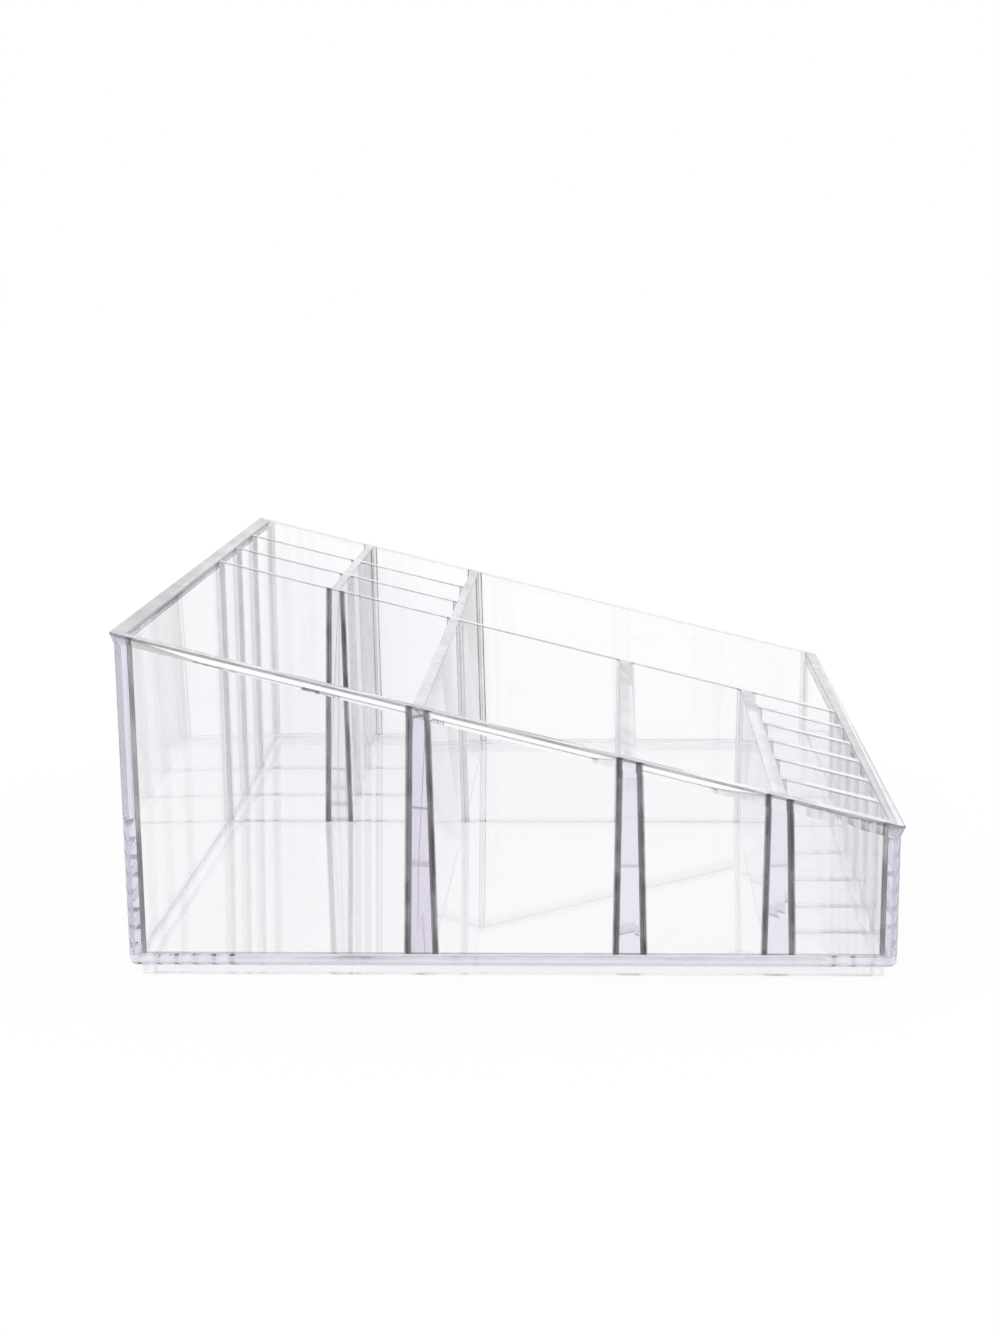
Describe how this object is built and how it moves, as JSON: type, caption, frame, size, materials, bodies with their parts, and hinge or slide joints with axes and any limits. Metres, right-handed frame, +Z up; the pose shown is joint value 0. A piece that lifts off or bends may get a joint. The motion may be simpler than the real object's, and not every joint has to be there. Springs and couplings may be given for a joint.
{
  "type": "vanity organizer",
  "caption": "Clear plastic vanity organizer: a tub with a sloping rim on a foot ring, parted by upright walls into open bays, brush slots and lipstick slots.",
  "frame": {"origin": "on the table, under the middle of the rim's outline", "axes": "+X from the high rear to the low front, +Y to the user's right as they face the low front, along the longest side, +Z up"},
  "size_m": [0.1997, 0.2796, 0.0899],
  "materials": {
    "clear_plastic": "polished, clear, with a faint lavender tint at the edges"
  },
  "bodies": {
    "root": {"outer_tub": "clear_plastic", "foot_ring": "clear_plastic", "centre_wall": "clear_plastic", "left_rear_divider": "clear_plastic", "left_middle_divider": "clear_plastic", "left_front_divider": "clear_plastic", "lipstick_divider_1": "clear_plastic", "lipstick_divider_2": "clear_plastic", "lipstick_divider_3": "clear_plastic", "lipstick_divider_4": "clear_plastic", "lipstick_divider_5": "clear_plastic", "right_rear_divider": "clear_plastic", "brush_wall_1": "clear_plastic", "brush_wall_2": "clear_plastic", "brush_cross_divider_1": "clear_plastic", "brush_cross_divider_2": "clear_plastic", "brush_cross_divider_3": "clear_plastic"}
  },
  "joints": []
}
